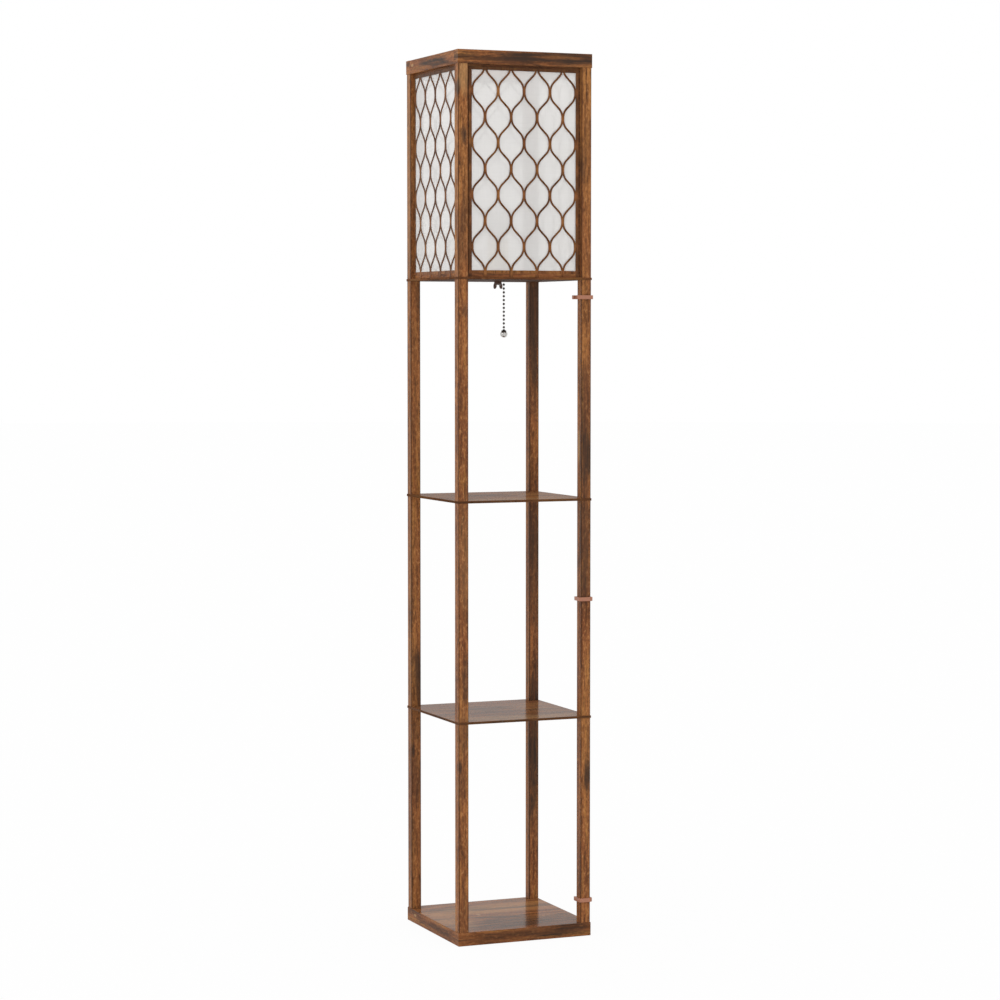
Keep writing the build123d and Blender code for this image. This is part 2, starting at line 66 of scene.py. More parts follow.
floor_mix = floor_tree.nodes.new("ShaderNodeMixShader")
floor_tree.links.new(share_white.outputs[0], floor_mix.inputs[0])
floor_tree.links.new(matt_white.outputs[0], floor_mix.inputs[1])
floor_tree.links.new(bright_white.outputs[0], floor_mix.inputs[2])
floor_tree.links.new(floor_mix.outputs[0], floor_tree.nodes["Material Output"].inputs["Surface"])

bpy.ops.mesh.primitive_circle_add(vertices=96, radius=30, fill_type="NGON", location=(0, 0, -0.0002))
floor = bpy.context.object
floor.name = "studio_floor"
floor.data.materials.append(floor_paint)

world = bpy.data.worlds.new("studio_surround")
bpy.context.scene.world = world
world.use_nodes = True
surround = world.node_tree
surround_light = surround.nodes["Background"]
surround_light.inputs["Color"].default_value = (1, 1, 1, 1)
seen = surround.nodes.new("ShaderNodeBackground")
seen.inputs["Color"].default_value = (1, 1, 1, 1)
seen.inputs["Strength"].default_value = 1.0
surround_light.inputs["Strength"].default_value = 0.95
ray = surround.nodes.new("ShaderNodeLightPath")
direct = surround.nodes.new("ShaderNodeMath")
direct.operation = "MAXIMUM"
surround.links.new(ray.outputs["Is Camera Ray"], direct.inputs[0])
surround.links.new(ray.outputs["Is Glossy Ray"], direct.inputs[1])
through = surround.nodes.new("ShaderNodeMath")
through.operation = "MAXIMUM"
surround.links.new(direct.outputs[0], through.inputs[0])
surround.links.new(ray.outputs["Is Transmission Ray"], through.inputs[1])
choice = surround.nodes.new("ShaderNodeMixShader")
surround.links.new(through.outputs[0], choice.inputs[0])
surround.links.new(surround_light.outputs[0], choice.inputs[1])
surround.links.new(seen.outputs[0], choice.inputs[2])
surround.links.new(choice.outputs[0], surround.nodes["World Output"].inputs["Surface"])

bpy.ops.object.light_add(type="AREA", location=(-3.6, -1.6, 2.4), rotation=(1.2, 0, -1.15))
key_lamp = bpy.context.object
key_lamp.name = "key_lamp"
key_lamp.data.shape = "RECTANGLE"
key_lamp.data.size = 2.4
key_lamp.data.size_y = 2.4
key_lamp.data.energy = 14

camera_place = (-2.0105, -4.8678, 1.1029)
camera_dip = 0.0586  # below the level, in radians
camera_turn = -0.3924  # from the lamp's front, in radians
bpy.ops.object.camera_add(location=camera_place, rotation=(pi / 2 - camera_dip, 0, camera_turn))
camera = bpy.context.object
camera.name = "photo_camera"
camera.data.sensor_width = 36
camera.data.lens = 103.30
bpy.context.scene.camera = camera
bpy.context.scene.view_settings.view_transform = "Standard"


# The base board: one thick square board covered in a brown wood-print foil with a satin face.
# It is bolted up into the four posts from below, in counterbored holes.
def wood_print(name, grain, place=(0, 0, 0), stains=(), pale=(), axis=None, bars=None, joints=None,
               under=0.0, edges=0.0, tone=0.0, streaks=0.5, flecks=0.3, size=1.0, gloss=0.3, shine=0.06):
    """A printed rustic wood with its grain along one axis. On a board's ends the grain runs along the end.

    stains and pale: (middle, reach, depth) of dark patches and of pale ones.
    axis: the middle of a post, whose rounded corners get painted shade.
    bars: how far out and how high the painted shade on a panel's bars begins, in the recess beside the posts
    and under the top rail.
    joints: the height of a lattice's first joint and the rise to the next; the strands are darker in colour,
    and darker still between the joints, where it is painted shade.
    under and edges: how much painted shade the downward faces and the narrow sides get.
    tone: how dark the whole print is.
    streaks and flecks: how strong the ragged dark streaks and the small flecks are.
    size: how broad the figure is.
    """
    material = bpy.data.materials.new(name)
    material.use_nodes = True
    tree = material.node_tree
    foil = tree.nodes["Principled BSDF"]
    where = tree.nodes.new("ShaderNodeTexCoord")
    along = where.outputs["Object"]

    def plug(source, socket):
        """Feeds a socket from a number or from another node."""
        if isinstance(source, (int, float)):
            socket.default_value = source
        else:
            tree.links.new(source, socket)

    def between(source, low, high, to_low=0.0, to_high=1.0):
        """Stretches the range from low to high onto the range from to_low to to_high."""
        span = tree.nodes.new("ShaderNodeMapRange")
        plug(source, span.inputs["Value"])
        for socket, value in (("From Min", low), ("From Max", high), ("To Min", to_low), ("To Max", to_high)):
            span.inputs[socket].default_value = value
        return span.outputs["Result"]

    def sum_up(operation, first, second=0.0):
        """One sum on two values."""
        sum_node = tree.nodes.new("ShaderNodeMath")
        sum_node.operation = operation
        plug(first, sum_node.inputs[0])
        plug(second, sum_node.inputs[1])
        return sum_node.outputs[0]

    def split(vector):
        """The three parts of a vector."""
        parts = tree.nodes.new("ShaderNodeSeparateXYZ")
        tree.links.new(vector, parts.inputs["Vector"])
        return parts.outputs

    if grain == "X":
        x, y, z = split(along)
        facing = sum_up("GREATER_THAN", sum_up("ABSOLUTE", split(where.outputs["Normal"])[0]), 0.7)
        turned = tree.nodes.new("ShaderNodeCombineXYZ")
        for source, socket in ((y, "X"), (x, "Y"), (z, "Z")):
            tree.links.new(source, turned.inputs[socket])
        wrap = tree.nodes.new("ShaderNodeMix")
        wrap.data_type = "VECTOR"
        tree.links.new(facing, wrap.inputs["Factor"])
        tree.links.new(along, wrap.inputs[4])
        tree.links.new(turned.outputs["Vector"], wrap.inputs[5])
        along = wrap.outputs[1]

    def fibres(scale, stretch, detail, distortion=0.0, rough=0.55, offset=0.0):
        """Noise drawn out along the grain."""
        turn = tree.nodes.new("ShaderNodeMapping")
        turn.inputs["Location"].default_value = [p + offset for p in place]
        turn.inputs["Scale"].default_value = [stretch if a == grain else 1.0 for a in "XYZ"]
        cloud = tree.nodes.new("ShaderNodeTexNoise")
        cloud.inputs["Scale"].default_value = scale
        cloud.inputs["Detail"].default_value = detail
        cloud.inputs["Roughness"].default_value = rough
        cloud.inputs["Distortion"].default_value = distortion
        tree.links.new(along, turn.inputs["Vector"])
        tree.links.new(turn.outputs["Vector"], cloud.inputs["Vector"])
        return cloud.outputs["Fac"]

    def wash(beneath, colour, amount):
        """Lays a colour over what is there, by an amount."""
        layer = tree.nodes.new("ShaderNodeMix")
        layer.data_type = "RGBA"
        plug(amount, layer.inputs["Factor"])
        tree.links.new(beneath, layer.inputs["A"])
        layer.inputs["B"].default_value = (*colour, 1)
        return layer.outputs["Result"]

    def spots(marks, ragged, soft):
        """How much each point is inside one of the marks, which have ragged edges."""
        inside = 0.0
        for spot, reach, depth in marks:
            gap = tree.nodes.new("ShaderNodeVectorMath")
            gap.operation = "SUBTRACT"
            gap.inputs[1].default_value = spot
            tree.links.new(where.outputs["Object"], gap.inputs[0])
            share = tree.nodes.new("ShaderNodeVectorMath")
            share.operation = "DIVIDE"
            share.inputs[1].default_value = reach
            tree.links.new(gap.outputs["Vector"], share.inputs[0])
            far = tree.nodes.new("ShaderNodeVectorMath")
            far.operation = "LENGTH"
            tree.links.new(share.outputs["Vector"], far.inputs[0])
            edge = sum_up("ADD", far.outputs["Value"], ragged)
            inside = sum_up("MAXIMUM", inside, between(edge, 1.0 + soft, 1.0 - soft, 0.0, depth))
        return inside

    # the ground: broad bands from dark to golden brown
    ground = tree.nodes.new("ShaderNodeValToRGB")
    ramp = ground.color_ramp
    ramp.elements[0].position, ramp.elements[0].color = 0.32, (0.250, 0.087, 0.032, 1)
    ramp.elements[1].position, ramp.elements[1].color = 0.70, (0.430, 0.180, 0.054, 1)
    mid_brown = ramp.elements.new(0.5)
    mid_brown.color = (0.340, 0.125, 0.042, 1)
    tree.links.new(fibres(30 / size, 0.14, 4, 0.4, 0.5), ground.inputs["Fac"])
    colour = ground.outputs["Color"]

    # the figure, the fine pores, the mottling, short dashes and ragged cracks, each over the last
    figure = fibres(150 / size, 0.07, 5, 0.3, 0.6, 3.1)
    colour = wash(colour, (0.110, 0.040, 0.016), between(figure, 0.50, 0.64, 0.0, 0.72))
    colour = wash(colour, (0.480, 0.225, 0.060), between(figure, 0.46, 0.34, 0.0, 0.5))
    streak = fibres(620, 0.03, 4, 0.0, 0.6, 1.7)
    colour = wash(colour, (0.075, 0.030, 0.013), between(streak, 0.51, 0.68, 0.0, 0.5))
    mottle = fibres(290, 0.45, 4, 0.0, 0.7, 2.3)
    colour = wash(colour, (0.070, 0.033, 0.021), between(mottle, 0.51, 0.64, 0.0, flecks))
    colour = wash(colour, (0.600, 0.290, 0.115), between(mottle, 0.47, 0.33, 0.0, flecks))
    dashes = fibres(260, 0.14, 2, 0.3, 0.5, 7.7)
    colour = wash(colour, (0.035, 0.017, 0.010), between(dashes, 0.60, 0.66, 0.0, 0.5))
    cracks = fibres(62 / size, 0.10, 7, 0.9, 0.66, 9.4)
    colour = wash(colour, (0.058, 0.030, 0.019), between(cracks, 0.52, 0.60, 0.0, streaks))

    # patches that are placed one by one
    ragged = between(fibres(60, 0.22, 6, 0.6, 0.68, 5.9), 0.3, 0.7, -0.6, 0.6)
    if stains:
        grainy = between(fibres(130, 0.06, 5, 0.3, 0.6, 4.3), 0.42, 0.56, 1.0 - 0.8 * streaks, 1.0)
        deep = sum_up("MULTIPLY", spots(stains, ragged, 0.45), grainy)
        colour = wash(colour, (0.056, 0.033, 0.023), deep)
    if pale:
        light = sum_up("MULTIPLY", spots(pale, between(ragged, -0.6, 0.6, -0.3, 0.3), 0.3), 0.6)
        colour = wash(colour, (0.56, 0.35, 0.16), light)

    # painted shade on the posts' rounded corners, on the panels' bars in their recesses, on the lattice's
    # slanting runs, and on the boards' narrow sides and undersides; the lattice's strands are also darker in
    # colour
    if axis:
        middle_x, middle_y = axis
        post_x, post_y, _ = split(where.outputs["Object"])
        off_x = sum_up("ABSOLUTE", sum_up("SUBTRACT", post_x, middle_x))
        off_y = sum_up("ABSOLUTE", sum_up("SUBTRACT", post_y, middle_y))
        rim = sum_up("MINIMUM", off_x, off_y)
        # painted shade along the posts' rounded corners
        colour = wash(colour, (0.045, 0.020, 0.011), between(rim, 0.0076, 0.0088, 0.0, 0.8))

    if bars:
        bar_x, bar_y, bar_z = split(where.outputs["Object"])
        out = sum_up("MINIMUM", sum_up("ABSOLUTE", bar_x), sum_up("ABSOLUTE", bar_y))
        beside, above = sum_up("GREATER_THAN", out, bars[0]), sum_up("GREATER_THAN", bar_z, bars[1])
        at_bar = sum_up("MAXIMUM", beside, above)
        # painted shade on the bars in the recess beside the posts and under the top rail
        colour = wash(colour, (0.055, 0.026, 0.014), sum_up("MULTIPLY", at_bar, 0.55))

    if joints:
        first_joint, joint_rise = joints
        rise = sum_up("SUBTRACT", split(where.outputs["Object"])[2], first_joint)
        turns = sum_up("DIVIDE", rise, joint_rise)
        off_joint = sum_up("PINGPONG", turns, 0.5)
        # darker strands, with painted shade on the slanting runs between the joints
        colour = wash(colour, (0.060, 0.029, 0.015), between(off_joint, 0.05, 0.22, 0.25, 0.62))
    if tone:
        colour = wash(colour, (0.040, 0.028, 0.022), tone)
    if edges:
        # painted shade on the narrow sides
        upright = between(sum_up("ABSOLUTE", split(where.outputs["Normal"])[2]), 0.8, 0.4, 0.0, edges)
        colour = wash(colour, (0.040, 0.020, 0.012), upright)
    if under:
        # painted shade on the downward faces
        down = between(split(where.outputs["Normal"])[2], -0.3, -0.8, 0.0, under)
        colour = wash(colour, (0.020, 0.011, 0.008), down)

    # the satin face, with the pores pressed in
    tree.links.new(colour, foil.inputs["Base Color"])
    foil.inputs["Specular IOR Level"].default_value = shine
    tree.links.new(between(streak, 0.3, 0.7, gloss, gloss + 0.12), foil.inputs["Roughness"])
    relief = tree.nodes.new("ShaderNodeBump")
    relief.inputs["Strength"].default_value = 0.12
    relief.inputs["Distance"].default_value = 0.0002
    tree.links.new(streak, relief.inputs["Height"])
    tree.links.new(relief.outputs["Normal"], foil.inputs["Normal"])
    return material


def finish_node(node, material):
    """Gives a solid of the frame its real finish."""
    nodes[node].data.materials.clear()
    nodes[node].data.materials.append(material)


(left_face, front_face, _), (_, _, base_top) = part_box("base_board")
base_wood = wood_print(
    "base_wood", "X", place=(0.37, 0.11, 0.2), tone=0.12, streaks=0.75, size=1.5, gloss=0.1, shine=0.026,
    stains=[((0.025, front_face, 0.013), (0.105, 0.03, 0.009), 1.0),
            ((0.03, -0.075, base_top), (0.12, 0.045, 0.01), 0.8),
            ((-0.06, 0.07, base_top), (0.05, 0.02, 0.01), 0.8),
            ((left_face, -0.02, 0.012), (0.03, 0.07, 0.006), 1.0)],
    pale=[((left_face, 0.090, 0.0156), (0.01, 0.006, 0.0022), 1.0),
          ((-0.035, 0.010, base_top), (0.004, 0.008, 0.005), 0.7),
          ((0.02, 0.055, base_top), (0.11, 0.045, 0.01), 0.3),
          ((-0.10, -0.02, base_top), (0.03, 0.08, 0.01), 0.3)])
finish_node("base_board", base_wood)


# The posts: square bars with lightly rounded edges, in four lengths one above another.
# They are wrapped in the same print, with the grain upright and painted shade on their rounded corners.
post_offset = 0.1195  # from the lamp's axis to each post's, both ways
post_face = 0.0095  # from a post's axis to its faces
post_corners = {"front_left": (-post_offset, -post_offset), "front_right": (post_offset, -post_offset),
                "back_left": (-post_offset, post_offset), "back_right": (post_offset, post_offset)}
# each dark patch: how far aside of the post's middle, height, reach aside, reach upward, depth. The last
# entry of each back post darkens the front part of its left face along its whole height.
post_dark_patches = {
    "front_left": [(-0.0065, 0.324, 0.003, 0.010, 1.0), (-0.003, 0.285, 0.009, 0.03, 0.45),
                   (0.005, 0.480, 0.007, 0.035, 0.7), (0.000, 0.385, 0.012, 0.045, 0.45),
                   (0.003, 1.14, 0.005, 0.012, 0.5), (0.001, 1.300, 0.007, 0.03, 0.5),
                   (0.000, 1.250, 0.012, 0.035, 0.45), (0.002, 1.450, 0.005, 0.015, 0.9),
                   (-0.009, 1.536, 0.004, 0.012, 0.9)],
    "front_right": [(0.000, 0.885, 0.013, 0.06, 1.0), (0.000, 0.985, 0.010, 0.06, 0.5),
                    (-0.003, 0.715, 0.011, 0.085, 0.75), (0.005, 0.297, 0.007, 0.024, 0.9),
                    (-0.009, 1.40, 0.006, 0.03, 0.8)],
    "back_left": [(-0.006, 0.322, 0.003, 0.012, 0.9), (0.000, 0.265, 0.010, 0.04, 0.4),
                  (0.003, 0.465, 0.010, 0.055, 0.85), (0.000, 0.36, 0.011, 0.02, 0.4),
                  (0.004, 1.16, 0.005, 0.02, 0.5), (-post_face, 0.6, 0.003, 0.7, 0.25)],
    "back_right": [(0.000, 1.120, 0.014, 0.100, 0.9), (0.000, 1.00, 0.010, 0.06, 0.3),
                   (0.002, 0.695, 0.013, 0.115, 0.85), (0.006, 0.455, 0.006, 0.05, 0.6),
                   (0.000, 0.31, 0.014, 0.12, 1.0), (-post_face, 0.6, 0.003, 0.7, 0.4)],
}
# each pale patch: how far aside and back of the post's middle, height, reach aside, reach upward, depth
post_pale = {
    "front_left": [(0.001, -post_face, 1.560, 0.010, 0.035, 0.5),
                   (0.000, -post_face, 0.705, 0.011, 0.10, 0.15)],
    "front_right": [(-post_face, 0.001, 0.895, 0.003, 0.03, 1.0)],
    "back_left": [(-post_face, 0.000, 1.400, 0.010, 0.19, 0.3)],
    "back_right": [],
}
for corner, (x, y) in post_corners.items():
    post_wood = wood_print(
        f"post_wood_{corner}", "Z", place=(3 * x, 5 * y, 0.3 * x), streaks=0.3, flecks=0.5,
        stains=[((x + aside, y - post_face, height), (reach_aside, 0.012, reach_up), depth)
                for aside, height, reach_aside, reach_up, depth in post_dark_patches[corner]],
        pale=[((x + aside, y + back, height), (reach_aside, reach_aside, reach_up), depth)
              for aside, back, height, reach_aside, reach_up, depth in post_pale[corner]],
        axis=(x, y))
    for segment in ("lower", "middle", "upper", "shade"):
        finish_node(f"{segment}_post_{corner}", post_wood)


# The two shelves and the floor of the shade: thin square boards clamped between the posts' ends.
# The same print runs across them. The shelves have a satin face that mirrors the posts at a low angle.
for board, place, shine in (("lower_shelf", (0.9, 0.4, 0.1), 0.0075),
                            ("middle_shelf", (0.2, 0.8, 0.3), 0.0003)):
    _, (_, _, shelf_top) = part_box(board)
    # the shelves' narrow sides get painted shade
    finish_node(board, wood_print(
        f"{board}_wood", "X", place=place, size=1.8, edges=0.6, tone=0.35, gloss=0.1, shine=shine,
        stains=[((-0.02, 0.03, shelf_top), (0.055, 0.035, 0.01), 0.7)],
        pale=[((-0.01, -0.10, shelf_top), (0.12, 0.025, 0.01), 0.5),
              ((0.09, 0.00, shelf_top), (0.04, 0.06, 0.01), 0.15)]))
# the shade floor's underside and narrow sides get painted shade
finish_node("shade_floor", wood_print("shade_floor_wood", "X", place=(0.5, 0.2, 0.7), under=0.85, edges=0.5,
                                      gloss=0.55, shine=0.02))


# The joining hardware: zinc-plated studs, inserts and bolts, and hardwood dowels in the top frame.
# All of it is inside the wood, except the bolt heads in the base and the top frame.
def worked_metal(name, colour, roughness, marks, depth):
    """Metal with the fine marks that turning, plating or tumbling leave."""
    material = bpy.data.materials.new(name)
    material.use_nodes = True
    tree = material.node_tree
    metal = tree.nodes["Principled BSDF"]
    metal.inputs["Metallic"].default_value = 1.0
    where = tree.nodes.new("ShaderNodeTexCoord")
    grit = tree.nodes.new("ShaderNodeTexNoise")
    grit.inputs["Scale"].default_value = marks
    grit.inputs["Detail"].default_value = 4
    tree.links.new(where.outputs["Object"], grit.inputs["Vector"])
    tint = tree.nodes.new("ShaderNodeValToRGB")
    tint.color_ramp.elements[0].position = 0.3
    tint.color_ramp.elements[0].color = [c * 0.82 for c in colour] + [1]
    tint.color_ramp.elements[1].position = 0.7
    tint.color_ramp.elements[1].color = [*colour, 1]
    tree.links.new(grit.outputs["Fac"], tint.inputs["Fac"])
    tree.links.new(tint.outputs["Color"], metal.inputs["Base Color"])
    dull = tree.nodes.new("ShaderNodeMapRange")
    dull.inputs["From Min"].default_value = 0.3
    dull.inputs["From Max"].default_value = 0.7
    dull.inputs["To Min"].default_value = roughness * 0.8
    dull.inputs["To Max"].default_value = roughness * 1.25
    tree.links.new(grit.outputs["Fac"], dull.inputs["Value"])
    tree.links.new(dull.outputs["Result"], metal.inputs["Roughness"])
    relief = tree.nodes.new("ShaderNodeBump")
    relief.inputs["Strength"].default_value = depth
    relief.inputs["Distance"].default_value = 0.0001
    tree.links.new(grit.outputs["Fac"], relief.inputs["Height"])
    tree.links.new(relief.outputs["Normal"], metal.inputs["Normal"])
    return material


zinc = worked_metal("zinc_plate", (0.62, 0.62, 0.60), 0.35, 900, 0.2)
for piece in ("shelf_studs", "post_inserts", "frame_bolts", "socket_nipple", "screw_shell"):
    finish_node(piece, zinc)
finish_node("top_dowels", wood_print("dowel_wood", "Y", place=(2.0, 0.3, 0.7)))


# The lampholder: a brass shell over a card liner, on a switch block, screwed to a hollow nipple.
# The pull chain leaves it through a horn on the cap.
brass = worked_metal("lampholder_brass", (0.72, 0.52, 0.24), 0.28, 500, 0.15)
for piece in ("socket_cap", "socket_shell", "centre_contact"):
    finish_node(piece, brass)


def plain_moulding(name, colour, roughness, marks=700, depth=0.2):
    """A moulded or pressed surface with a fine even grain."""
    material = bpy.data.materials.new(name)
    material.use_nodes = True
    tree = material.node_tree
    body = tree.nodes["Principled BSDF"]
    body.inputs["Roughness"].default_value = roughness
    where = tree.nodes.new("ShaderNodeTexCoord")
    grit = tree.nodes.new("ShaderNodeTexNoise")
    grit.inputs["Scale"].default_value = marks
    grit.inputs["Detail"].default_value = 3
    tree.links.new(where.outputs["Object"], grit.inputs["Vector"])
    tint = tree.nodes.new("ShaderNodeValToRGB")
    tint.color_ramp.elements[0].position = 0.3
    tint.color_ramp.elements[0].color = [c * 0.9 for c in colour] + [1]
    tint.color_ramp.elements[1].position = 0.7
    tint.color_ramp.elements[1].color = [*colour, 1]
    tree.links.new(grit.outputs["Fac"], tint.inputs["Fac"])
    tree.links.new(tint.outputs["Color"], body.inputs["Base Color"])
    relief = tree.nodes.new("ShaderNodeBump")
    relief.inputs["Strength"].default_value = depth
    relief.inputs["Distance"].default_value = 0.0001
    tree.links.new(grit.outputs["Fac"], relief.inputs["Height"])
    tree.links.new(relief.outputs["Normal"], body.inputs["Normal"])
    return material


finish_node("switch_block", plain_moulding("switch_moulding", (0.02, 0.02, 0.02), 0.5))
finish_node("socket_liner", plain_moulding("liner_card", (0.32, 0.22, 0.12), 0.85))
finish_node("bulb_cap", worked_metal("bulb_cap_metal", (0.72, 0.72, 0.72), 0.25, 700, 0.1))
finish_node("bulb_glass", plain_moulding("bulb_opal_glass", (0.80, 0.80, 0.78), 0.22, 300, 0.02))


# The wing nut under the shade's floor, cast and painted dark bronze, with its washer painted the same.
# It holds the nipple, and so the lampholder, to the floor board.
def softened_copy(node, name, width):
    """A copy of a solid with its sharp edges rounded off, as casting or moulding leaves them."""
    bpy.ops.object.select_all(action="DESELECT")
    bpy.context.view_layer.objects.active = nodes[node]
    nodes[node].select_set(True)
    bpy.ops.object.duplicate()
    piece = bpy.context.object
    piece.name = name
    bpy.ops.object.mode_set(mode="EDIT")
    bpy.ops.mesh.select_all(action="SELECT")
    bpy.ops.mesh.remove_doubles(threshold=0.00001)
    bpy.ops.mesh.dissolve_limited(angle_limit=0.01)
    bpy.ops.object.mode_set(mode="OBJECT")
    rounding = piece.modifiers.new("rounding", "BEVEL")
    rounding.width = width
    rounding.segments = 3
    rounding.limit_method = "ANGLE"
    rounding.angle_limit = 0.7
    rounding.use_clamp_overlap = True
    bpy.ops.object.modifier_apply(modifier="rounding")
    bpy.ops.object.shade_smooth_by_angle(angle=0.7)
    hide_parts(node)
    bpy.ops.object.select_all(action="DESELECT")
    return piece


nut_paint = plain_moulding("wing_nut_paint", (0.095, 0.040, 0.022), 0.35, 900, 0.3)
finish_node("nipple_washer", nut_paint)
nut = softened_copy("wing_nut", "cast_wing_nut", 0.0007)
nut.data.materials.clear()
nut.data.materials.append(nut_paint)
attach(nut, "lamp")


# The pull chain: pressed beads on wire links, and a turned ball with a cap at its end.
# The ball and the wire are bright, and the beads and the cap are dull and dark with wear.
bead_nickel = worked_metal("bead_nickel", (0.115, 0.105, 0.095), 0.32, 1200, 0.1)
# the wire shows bright between the beads: what is near the chain's axis is wire
bright_wire = (0.85, 0.84, 0.82, 1)
wire_radius, past_wire = 0.0005, 0.0007
bead_tree = bead_nickel.node_tree
bead_where = bead_tree.nodes.new("ShaderNodeTexCoord")
chain_low, chain_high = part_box("hanging_chain")
off_wire = bead_tree.nodes.new("ShaderNodeVectorMath")
off_wire.operation = "SUBTRACT"
off_wire.inputs[1].default_value = [(a + b) / 2 for a, b in zip(chain_low, chain_high)]
bead_tree.links.new(bead_where.outputs["Object"], off_wire.inputs[0])
flattened = bead_tree.nodes.new("ShaderNodeVectorMath")
flattened.operation = "MULTIPLY"
flattened.inputs[1].default_value = (1, 1, 0)
bead_tree.links.new(off_wire.outputs["Vector"], flattened.inputs[0])
from_wire = bead_tree.nodes.new("ShaderNodeVectorMath")
from_wire.operation = "LENGTH"
bead_tree.links.new(flattened.outputs["Vector"], from_wire.inputs[0])
on_wire = bead_tree.nodes.new("ShaderNodeMapRange")
on_wire.inputs["From Min"].default_value = past_wire
on_wire.inputs["From Max"].default_value = wire_radius
bead_tree.links.new(from_wire.outputs["Value"], on_wire.inputs["Value"])
wire_mix = bead_tree.nodes.new("ShaderNodeMix")
wire_mix.data_type = "RGBA"
bead_tree.links.new(on_wire.outputs["Result"], wire_mix.inputs["Factor"])
bead_tree.links.new(bead_tree.nodes["Color Ramp"].outputs["Color"], wire_mix.inputs["A"])
wire_mix.inputs["B"].default_value = bright_wire
bead_tree.links.new(wire_mix.outputs["Result"], bead_tree.nodes["Principled BSDF"].inputs["Base Color"])
for piece in ("chain_top", "chain_swivel_bead", "hanging_chain"):
    finish_node(piece, bead_nickel)
finish_node("pull_ball", worked_metal("chain_nickel", (0.60, 0.59, 0.57), 0.18, 1200, 0.05))
finish_node("ball_cap", worked_metal("ball_cap_metal", (0.045, 0.042, 0.040), 0.35, 900, 0.1))


# The lattice panels: one on each side of the shade, cut from board in a pattern of wavy strands
# that meet and part, inside a narrow frame. They have the posts' print, darker in colour, with painted shade
# on the slanting runs between the joints and on the top bar under the top rail.
first_joint_height = 1.2084  # of the lowest place where two strands meet
joint_rise = 0.0459875  # from one row of joints to the next
top_bar_height = 1.5665  # where a panel's top bar begins
past_side_bars = 0.2  # the side bars of the panels get no painted shade
lattice_wood = wood_print("lattice_wood", "Z", place=(0.15, 0.35, 0.6), streaks=0.4,
                          bars=(past_side_bars, top_bar_height), joints=(first_joint_height, joint_rise))
for side in ("front", "right", "back", "left"):
    finish_node(f"{side}_lattice_panel", lattice_wood)


# The diffusers: a pale film like fine linen behind each panel, cut flat and held stretched
# between the panel and its backing frame. Light and shadow show faintly through it.
film_share = 0.55  # of the light that it keeps back, so that the inside shows a little
film = bpy.data.materials.new("diffuser_film")
film.use_nodes = True
film_tree = film.node_tree
film_body = film_tree.nodes["Principled BSDF"]
film_body.inputs["Roughness"].default_value = 0.7
film_body.inputs["Specular IOR Level"].default_value = 0.2
film_body.inputs["Alpha"].default_value = film_share
film_where = film_tree.nodes.new("ShaderNodeTexCoord")
upright_yarn, level_yarn = (1, 1, 0.03), (0.03, 0.03, 1)  # each drawn out along its thread
film_threads = []
for stretch in (upright_yarn, level_yarn):
    stretched = film_tree.nodes.new("ShaderNodeMapping")
    stretched.inputs["Scale"].default_value = stretch
    film_tree.links.new(film_where.outputs["Object"], stretched.inputs["Vector"])
    yarn = film_tree.nodes.new("ShaderNodeTexNoise")
    yarn.inputs["Scale"].default_value = 900
    yarn.inputs["Detail"].default_value = 3
    film_tree.links.new(stretched.outputs["Vector"], yarn.inputs["Vector"])
    film_threads.append(yarn.outputs["Fac"])
weave = film_tree.nodes.new("ShaderNodeMath")
weave.operation = "ADD"
film_tree.links.new(film_threads[0], weave.inputs[0])
film_tree.links.new(film_threads[1], weave.inputs[1])
film_tint = film_tree.nodes.new("ShaderNodeMapRange")
film_tint.inputs["From Min"].default_value = 0.7
film_tint.inputs["From Max"].default_value = 1.3
film_tint.inputs["To Min"].default_value = 0.92
film_tint.inputs["To Max"].default_value = 0.97
film_tree.links.new(weave.outputs[0], film_tint.inputs["Value"])
film_colour = film_tree.nodes.new("ShaderNodeCombineColor")
for channel, share in (("Red", 1.0), ("Green", 0.985), ("Blue", 0.965)):
    film_channel = film_tree.nodes.new("ShaderNodeMath")
    film_channel.operation = "MULTIPLY"
    film_channel.inputs[1].default_value = share
    film_tree.links.new(film_tint.outputs["Result"], film_channel.inputs[0])
    film_tree.links.new(film_channel.outputs[0], film_colour.inputs[channel])


def film_sum(operation, first, second=0.0):
    """One sum on two values of the film's material."""
    step = film_tree.nodes.new("ShaderNodeMath")
    step.operation = operation
    for socket, source in zip(step.inputs, (first, second)):
        if isinstance(source, (int, float)):
            socket.default_value = source
        else:
            film_tree.links.new(source, socket)
    return step.outputs[0]


# painted shadow: the lattice behind the far films is painted on their inner faces as faint darker lines,
# where it keeps out light
half_pitch = 0.0251125  # half the way from one column of joints to the next
bend = 0.0114375  # the height over which a strand runs straight up beside a joint
swing = 0.0231125  # how far a strand swings aside from its joint
joint_gap = 0.001  # from a joint's middle to its strands
film_place = film_tree.nodes.new("ShaderNodeSeparateXYZ")
film_tree.links.new(film_where.outputs["Object"], film_place.inputs["Vector"])
sideways = film_sum("MINIMUM", film_sum("ABSOLUTE", film_place.outputs[0]),
                    film_sum("ABSOLUTE", film_place.outputs[1]))
fold_across = film_sum("PINGPONG", film_sum("SUBTRACT", sideways, half_pitch), half_pitch)
fold_up = film_sum("PINGPONG", film_sum("SUBTRACT", film_place.outputs[2], first_joint_height), joint_rise)
past_bend = film_sum("MAXIMUM", film_sum("SUBTRACT", fold_up, bend))
strand_line = film_sum("ADD", film_sum("MINIMUM", past_bend, swing), joint_gap)
off_strand = film_sum("ABSOLUTE", film_sum("SUBTRACT", fold_across, strand_line))
strand_shade = film_tree.nodes.new("ShaderNodeMapRange")
for socket, value in (("From Min", 0.0028), ("From Max", 0.0014), ("To Min", 0.0), ("To Max", 0.85)):
    strand_shade.inputs[socket].default_value = value
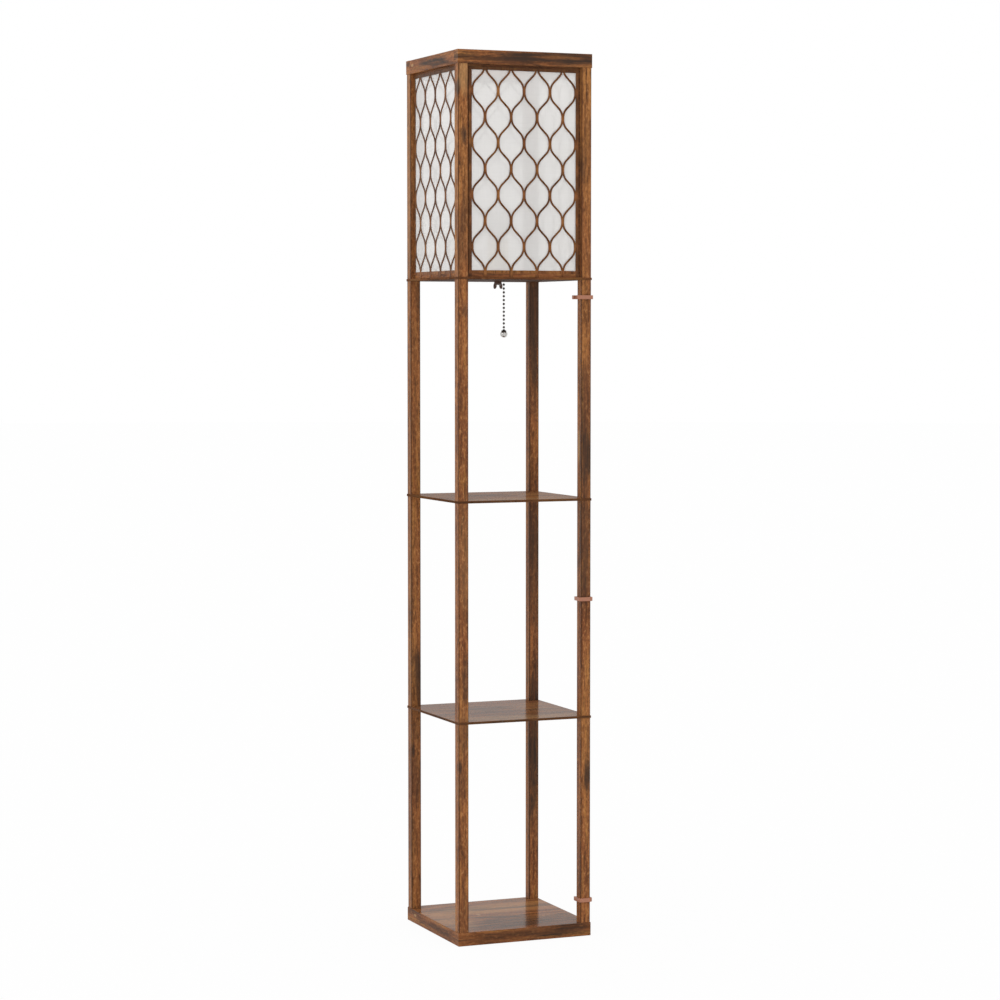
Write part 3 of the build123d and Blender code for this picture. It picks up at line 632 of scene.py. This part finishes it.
film_tree.links.new(off_strand, strand_shade.inputs["Value"])
film_facing = film_tree.nodes.new("ShaderNodeVectorMath")
film_facing.operation = "DOT_PRODUCT"
film_tree.links.new(film_where.outputs["Object"], film_facing.inputs[0])
film_tree.links.new(film_where.outputs["Normal"], film_facing.inputs[1])
inner_shade = film_sum("MULTIPLY", strand_shade.outputs["Result"],
                       film_sum("LESS_THAN", film_facing.outputs["Value"], 0.0))
shaded_film = film_tree.nodes.new("ShaderNodeMix")
shaded_film.data_type = "RGBA"
film_tree.links.new(inner_shade, shaded_film.inputs["Factor"])
film_tree.links.new(film_colour.outputs["Color"], shaded_film.inputs["A"])
shaded_film.inputs["B"].default_value = (0.16, 0.13, 0.10, 1)
film_tree.links.new(shaded_film.outputs["Result"], film_body.inputs["Base Color"])
film_relief = film_tree.nodes.new("ShaderNodeBump")
film_relief.inputs["Strength"].default_value = 0.15
film_relief.inputs["Distance"].default_value = 0.0001
film_tree.links.new(weave.outputs[0], film_relief.inputs["Height"])
film_tree.links.new(film_relief.outputs["Normal"], film_body.inputs["Normal"])

film_thickness = 0.0004
for side in ("front", "right", "back", "left"):
    low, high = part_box(f"{side}_diffuser")
    middle = [(a + b) / 2 for a, b in zip(low, high)]
    width, depth, height = (b - a for a, b in zip(low, high))
    across = side in ("front", "back")
    bpy.ops.mesh.primitive_grid_add(x_subdivisions=12, y_subdivisions=20, size=1, location=middle,
                                    rotation=(pi / 2, 0, 0 if across else pi / 2))
    cloth = bpy.context.object
    cloth.name = f"{side}_diffuser_cloth"
    cloth.scale = (width if across else depth, height, 1)
    bpy.ops.object.transform_apply(location=True, rotation=True, scale=True)
    thickness = cloth.modifiers.new("thickness", "SOLIDIFY")
    thickness.thickness = film_thickness
    thickness.offset = 0
    bpy.ops.object.modifier_apply(modifier="thickness")
    cloth.data.materials.append(film)
    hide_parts(f"{side}_diffuser")
    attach(cloth, "lamp")
    bpy.ops.object.select_all(action="DESELECT")


# The backing frames: thin battens glued into a frame behind each film, with a taller bottom bar
# that shows below the panel. They are cut from the same printed board.
# painted shade: the side battens, in the recess beside the posts, and the top batten, under the top rail, are
# darkened from side_batten_offset out and from top_bar_height up
side_batten_offset = 0.1008  # how far out a side batten shows past the panel
for sides, grain, streaks in ((("front", "back"), "X", 0.6), (("left", "right"), "Y", 0.15)):
    batten_wood = wood_print(f"batten_wood_{sides[0]}", grain, place=(0.25, 0.45, 0.3), streaks=streaks,
                             bars=(side_batten_offset, top_bar_height), gloss=0.45, shine=0.1)
    for side in sides:
        finish_node(f"{side}_backing_frame", batten_wood)


# The top frame: four rails round the open top, bolted down into the posts.
# The front and back rails run the full width, and the side rails stand between them.
rail_middle = 1.588  # the height of their dark patches
rail_wood = wood_print("rail_wood", "X", place=(0.37, 0.11, 0.45), streaks=0.75,
                       stains=[((0.060, front_face, rail_middle), (0.140, 0.03, 0.013), 1.0)])
side_rail_wood = wood_print("side_rail_wood", "Y", place=(0.2, 0.6, 0.9), streaks=0.75,
                            stains=[((left_face, -0.02, rail_middle), (0.03, 0.08, 0.008), 1.0)],
                            pale=[((left_face, 0.0975, 1.591), (0.01, 0.006, 0.0022), 1.0)])
for piece in ("top_front_rail", "top_back_rail"):
    finish_node(piece, rail_wood)
for piece in ("top_left_rail", "top_right_rail"):
    finish_node(piece, side_rail_wood)


# The cord clips: small moulded C-shaped clips pushed onto the front right post.
# The plastic is a copper brown with a dull shine.
clip_plastic = plain_moulding("clip_plastic", (0.420, 0.172, 0.098), 0.45, 500, 0.1)
for level in ("lower", "middle", "upper"):
    clip = softened_copy(f"{level}_cord_clip", f"{level}_moulded_clip", 0.0008)
    clip.data.materials.clear()
    clip.data.materials.append(clip_plastic)
    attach(clip, f"{level}_clip")
